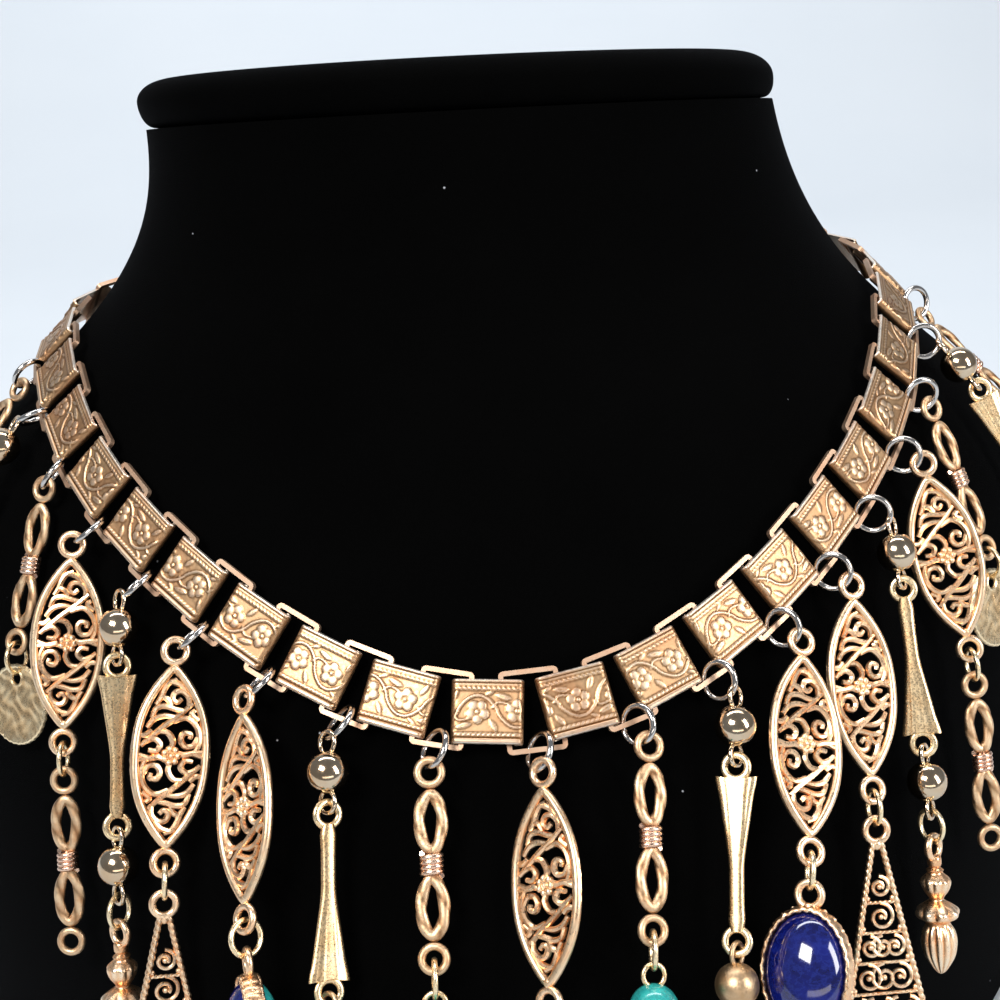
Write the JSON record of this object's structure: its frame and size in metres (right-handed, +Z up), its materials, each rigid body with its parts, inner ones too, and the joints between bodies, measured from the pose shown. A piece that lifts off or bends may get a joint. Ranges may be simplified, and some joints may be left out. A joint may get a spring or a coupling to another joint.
{
  "type": "bib necklace on neck bust",
  "caption": "Bib necklace of mixed filigree, ball and cabochon drops on a book-chain collar, worn by a black velvet neck bust.",
  "frame": {"origin": "centre line of the neck on the bust's flat base", "axes": "+Z up, -Y the way the chest faces, +X to the right of someone who looks at the chest"},
  "size_m": [0.2432, 0.1925, 0.192],
  "materials": {
    "black_velvet": "black velvet pile",
    "rose_gold": "cast gold-tone metal with brown patina in the recesses",
    "pale_gold": "satin pale gold-tone sheet",
    "silvered_gold": "polished champagne-silver plating",
    "aged_gold": "dull brownish gold plating",
    "lapis_and_turquoise": "polished opaque blue stone, turquoise on the other face, in a gold-tone bezel",
    "turquoise_bead": "polished opaque turquoise bead"
  },
  "bodies": {
    "root": {"neck_bust": "black_velvet", "neck_cap": "black_velvet", "collar_left": "rose_gold", "collar_right": "rose_gold", "clasp": "rose_gold", "drop_c_1_marquise": "rose_gold", "drop_l1_1_twist": "rose_gold", "drop_l1_2_bead": "turquoise_bead", "drop_r1_1_twist": "rose_gold", "drop_r1_2_bead": "turquoise_bead", "drop_l2_1_ball": "silvered_gold", "drop_l2_2_fan": "pale_gold", "drop_l2_3_endball": "aged_gold", "drop_r2_1_ball": "silvered_gold", "drop_r2_2_fanup": "pale_gold", "drop_r2_3_endball": "aged_gold", "drop_l3_1_marquise": "rose_gold", "drop_l3_2_cabochon": "lapis_and_turquoise", "drop_r3_1_marquise": "rose_gold", "drop_r3_2_cabochon": "lapis_and_turquoise", "drop_l4_1_marquise": "rose_gold", "drop_l4_2_triangle": "rose_gold", "drop_r4_1_marquise": "rose_gold", "drop_r4_2_triangle": "rose_gold", "drop_l5_1_ball": "silvered_gold", "drop_l5_2_fanup": "pale_gold", "drop_l5_3_ball": "silvered_gold", "drop_l5_4_baluster": "rose_gold", "drop_r5_1_ball": "silvered_gold", "drop_r5_2_fan": "pale_gold", "drop_r5_3_ball": "silvered_gold", "drop_r5_4_baluster": "rose_gold", "drop_l6_1_marquise": "rose_gold", "drop_l6_2_twist": "rose_gold", "drop_r6_1_marquise": "rose_gold", "drop_r6_2_twist": "rose_gold", "drop_l7_1_twist": "rose_gold", "drop_l7_2_disc": "pale_gold", "drop_r7_1_twist": "rose_gold", "drop_r7_2_disc": "pale_gold", "drop_l8_1_ball": "silvered_gold", "drop_l8_2_fanup": "pale_gold", "drop_r8_1_ball": "silvered_gold", "drop_r8_2_fanup": "pale_gold", "drop_l9_1_twist": "rose_gold", "drop_r9_1_twist": "rose_gold"}
  },
  "joints": []
}
